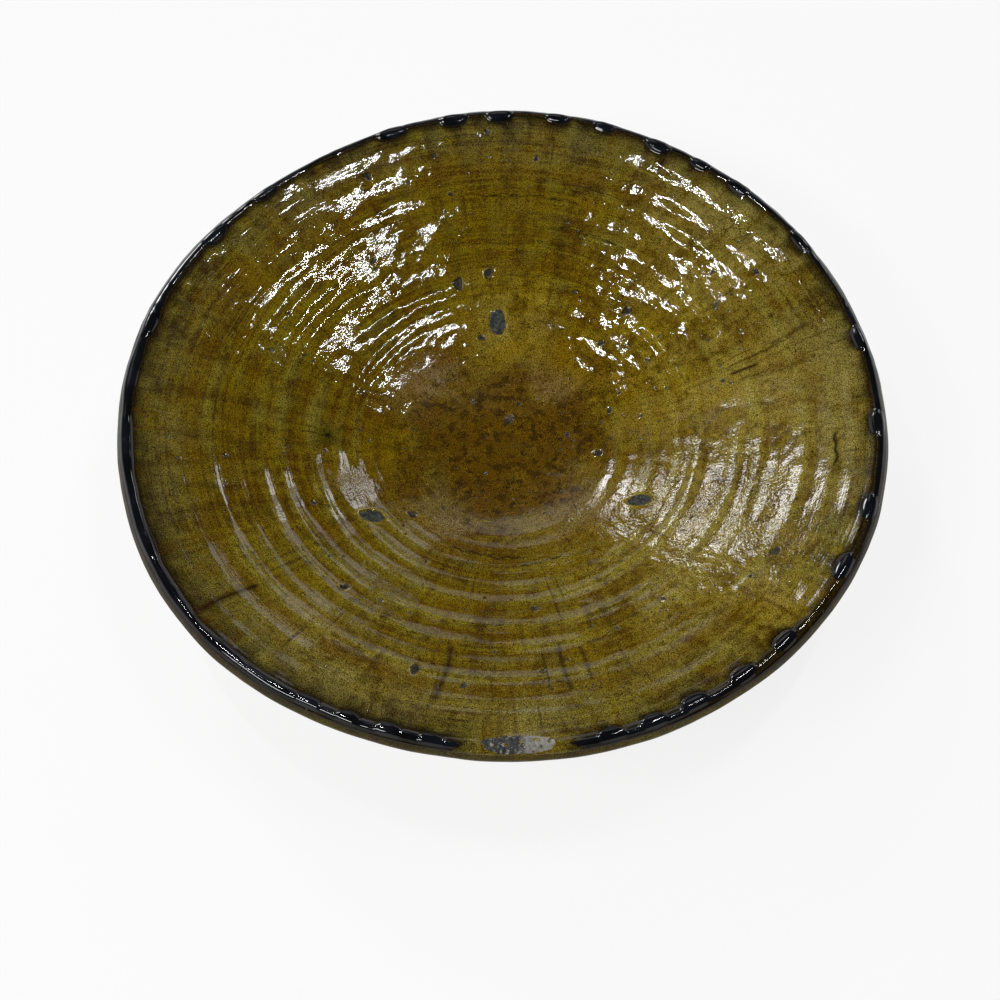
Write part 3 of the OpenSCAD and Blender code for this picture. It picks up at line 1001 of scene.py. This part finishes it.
def build_scar(name, node, material, to_plan, height, layers, shoulder, edge_seed):
    """A thin scar: a rough top over a ragged oval.

    to_plan turns a point of the unit disc into u and theta. The top stands height mm above the glaze,
    with a relief of these layers, and falls off from the shoulder, a share of the reach, to the edge.
    """
    bm = lens_mesh([(r, 96) for r in np.linspace(0.06, 1, 22)], [(r, 96) for r in np.linspace(0.2, 1, 5)])
    a, b, on_top, reach, turn = plan_of(bm)
    rim = np.cos(turn), np.sin(turn)
    ragged = 1 + 0.025 * waves(*rim, 0.9, edge_seed) + 0.015 * waves(*rim, 0.3, edge_seed + 1)
    u, theta = to_plan(a * ragged, b * ragged)
    body = (height * MM + relief(*plan(u, theta), *layers)) * smooth(reach, 1.0, shoulder)
    lift = np.where(on_top, glaze_lift(u, theta) + body - 0.02 * MM, 0.05 * MM)
    from_bmesh(name, bm, place(u, theta, lift), node, "scar", material)


def build_stilt_scars(material):
    """The three scars of the kiln stilt in the well."""
    for index, (cx, cy, length, width) in enumerate(STILT_PLACES):
        def to_plan(a, b):
            x, y = cx + a * length, cy + b * width
            return np.hypot(x, y), np.arctan2(y, x)

        layers = [(0.07, 2.6, 71 + index), (0.04, 1.2, 75 + index)]
        name = f"stilt_scar_{index + 1}"
        build_scar(name, "stilt_scars", material, to_plan, 0.22, layers, 0.75, 80 + 2 * index)


def build_rim_scar(material):
    """The scar of the kiln kiss, over the crest of the lip."""
    def to_plan(a, b):
        theta = math.radians(KISS_ANGLE) + a * KISS_L / 2 / PLATE_R
        return U_CREST - KISS_IN + b * KISS_W / 2, theta

    layers = [(0.2, 5, 91), (0.1, 2, 92)]
    build_scar("rim_kiss_scar", "rim_scar", material, to_plan, 0.35, layers, 0.7, 95)


clay = fired_clay()
build_clay(clay)
build_foot(clay)
build_inside_glaze(amber_glaze("amber_glaze_inside", 0.025, True))
build_outside_glaze(amber_glaze("amber_glaze_outside", 0.42, False))
build_rim_glaze(dark_glaze())
build_stilt_scars(stilt_clay())
build_rim_scar(kiss_scar())


# Floor, lights and camera

# The room is pale below this height of a direction (its sine) and dim above it
ROOM_EDGE = 0.31
ROOM_LOW = 0.68
ROOM_HIGH = 0.03
# Soft lights of the room: azimuth, elevation, core and edge in degrees, and strength
SOFT_LIGHTS = [
    (122, 36, 6, 14, 0.45), (94, 42, 3, 10, 0.9), (118.5, 33, 0.5, 7.5, 20.0), (56, 32, 1, 5, 7.0),
    (64, 28, 2, 6, 1.8), (74, 25, 2, 6, 1.4)]
# Lamps: name, start and end, width in metres and power in watts
LAMPS = [("strip_right", (0.235, -0.03, 1.25), (0.56, 0.44, 1.25), 0.006, 3.8),
         ("strip_left", (-0.36, 0.06, 1.25), (-0.575, 0.345, 1.25), 0.006, 3.2),
         ("soft_near_left", (-1.05, -0.35, 1.1), (-0.55, -0.85, 1.1), 0.2, 9.5)]
# How bright the camera sees the room, how much of the floor it sees as plain white, and the floor's
# own tone and half its width in metres
ROOM_SEEN = 0.9
FLOOR_GLOW = 0.85
FLOOR_TONE = (0.85, 0.85, 0.85, 1.0)
FLOOR_HALF = 6.0
# The photograph's camera: its place, what it looks at, its roll in degrees, and lens and sensor in mm
CAMERA_AT = Vector((0, -0.3917, 0.6387))
CAMERA_AIM = Vector((-0.0014, -0.0532, 0.0585))
CAMERA_ROLL = -0.69
CAMERA_LENS = 54.98
CAMERA_SENSOR = 36.0


def build_floor():
    """A wide white floor that keeps the plate's soft shadow."""
    mesh = bpy.data.meshes.new("floor")
    corners = [(FLOOR_HALF * x, FLOOR_HALF * y, 0) for x, y in ((-1, -1), (1, -1), (1, 1), (-1, 1))]
    mesh.from_pydata(corners, [], [(0, 1, 2, 3)])
    p = Paint("white_floor")
    p.feed(p.shader.inputs["Base Color"], FLOOR_TONE)
    p.feed(p.shader.inputs["Roughness"], 0.9)
    path = p.make("LightPath")
    mirrored = p.math("MAXIMUM", path["Is Glossy Ray"], path["Is Transmission Ray"])
    seen = p.math("MAXIMUM", path["Is Camera Ray"], mirrored)
    glow = p.make("Emission", {"Strength": 1.0})[0]
    blend = p.make("MixShader", {0: p.times(seen, FLOOR_GLOW), 1: p.shader.outputs[0], 2: glow})[0]
    p.feed(p.tree.nodes["Material Output"].inputs["Surface"], blend)
    mesh.materials.append(p.material)
    add_object("floor", mesh)


def build_lamp(name, start, end, width, power):
    """A flat lamp from start to end, facing the middle of the plate."""
    start, end = Vector(start), Vector(end)
    middle = (start + end) / 2
    along = (end - start).normalized()
    back = middle - Vector((0, 0, PLATE_H / 2))
    back = (back - along * back.dot(along)).normalized()
    light = bpy.data.lights.new(name, "AREA")
    light.shape = "RECTANGLE"
    light.size = (end - start).length
    light.size_y = width
    light.energy = power
    turn = Matrix((along, back.cross(along), back)).transposed()
    add_object(name, light).matrix_world = Matrix.Translation(middle) @ turn.to_4x4()


def build_world():
    """A dim room with a pale zone low down and a few soft lights, which the camera sees as plain white."""
    world = bpy.data.worlds.new("studio")
    bpy.context.scene.world = world
    world.use_nodes = True
    n = Nodes(world.node_tree)
    direction = n.make("TexCoord")["Generated"]
    _, _, up = n.split(direction)

    def spot(azimuth, elevation, core, edge, strength):
        """Light round a direction, even within the core angle and gone at the edge, in degrees."""
        azimuth, elevation = math.radians(azimuth), math.radians(elevation)
        level = math.cos(elevation)
        towards = (level * math.cos(azimuth), level * math.sin(azimuth), math.sin(elevation))
        near, far = math.cos(math.radians(core)), math.cos(math.radians(edge))
        return n.span(n.vector_math("DOT_PRODUCT", direction, towards), far, near, 0.0, strength)

    low = n.span(up, ROOM_EDGE - 0.03, ROOM_EDGE + 0.03, ROOM_LOW, ROOM_HIGH)
    strength = n.add(low, *(spot(*light) for light in SOFT_LIGHTS))
    seen = n.make("LightPath")["Is Camera Ray"]
    background = n.tree.nodes["Background"].inputs
    n.feed(background["Strength"], n.span(seen, 0.0, 1.0, strength, ROOM_SEEN))
    n.feed(background["Color"], (1, 1, 1, 1))


def build_camera():
    """The camera of the photograph, which looks down into the plate."""
    camera = bpy.data.cameras.new("camera")
    camera.lens = CAMERA_LENS
    camera.sensor_width = CAMERA_SENSOR
    turn = (CAMERA_AIM - CAMERA_AT).to_track_quat("-Z", "Y").to_matrix().to_4x4()
    roll = Matrix.Rotation(math.radians(CAMERA_ROLL), 4, "Z")
    seen = add_object("camera", camera)
    seen.matrix_world = Matrix.Translation(CAMERA_AT) @ turn @ roll
    bpy.context.scene.camera = seen


build_floor()
build_world()
for lamp in LAMPS:
    build_lamp(*lamp)
build_camera()
bpy.context.scene.view_settings.view_transform = "Standard"
